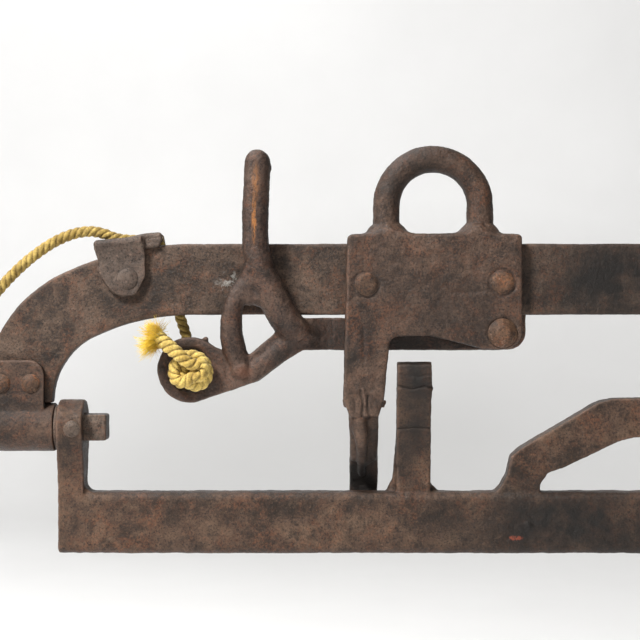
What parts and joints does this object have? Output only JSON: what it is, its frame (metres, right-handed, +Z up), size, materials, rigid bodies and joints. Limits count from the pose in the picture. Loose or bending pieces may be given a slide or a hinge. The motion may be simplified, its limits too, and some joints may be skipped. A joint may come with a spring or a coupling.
{
  "type": "trip release hoist yoke",
  "caption": "Cast and forged iron hoist yoke with a hanging eye, a rope-pulled trip lever and a tilting load frame held by a latch post.",
  "frame": {"origin": "centre of the hanging eye, in the middle plane of the yoke bar", "axes": "+X along the yoke with the trip lever's eye on -X, +Z up as it hangs, -Y is the front with the lever's handle"},
  "size_m": [0.5238, 0.04, 0.3364],
  "materials": {
    "cast_iron": "rough casting, brown rust patina, worn edges",
    "bar_iron": "flat bar iron, mottled brown rust patina",
    "rivets": "hammered rivet heads with the same patina",
    "pins": "turned pins and washers, dull brown",
    "rope": "laid yellow rope, dirty, with a frayed end"
  },
  "bodies": {
    "yoke": {"yoke_bar": "bar_iron", "hanger_casting": "cast_iron", "hanger_back_plate": "cast_iron", "hanger_rivets": "rivets", "lever_pivot_rivet": "rivets", "rope_guide_front_ear": "bar_iron", "rope_guide_rear_ear": "bar_iron", "rope_guide_rivet": "rivets", "left_end_bearing": "cast_iron", "right_end_bearing": "cast_iron", "bearing_rivets": "rivets", "trip_rope_free": "rope", "trip_rope_end_knot": "rope"},
    "load_frame": {"load_bar": "cast_iron", "left_trunnion_pin": "pins", "right_trunnion_pin": "pins", "trunnion_cross_rivets": "rivets", "thrust_washers": "pins", "cotter_pins": "pins"},
    "trip_lever": {"trip_lever": "cast_iron", "trip_rope_knot": "rope", "trip_rope_tail": "rope", "trip_rope_run": "rope"}
  },
  "joints": [
    {"name": "load_frame_swing", "type": "hinge", "parent": "yoke", "child": "load_frame", "pos_m": [0, 0, -0.1193], "axis": [1, 0, 0], "range_deg": [-100, 0]},
    {"name": "trip_lever_drop", "type": "hinge", "parent": "yoke", "child": "trip_lever", "pos_m": [0.0362, 0, -0.0686], "axis": [0, 1, 0], "range_deg": [-14, 0.6], "deforming": ["trip_rope_run"]}
  ]
}
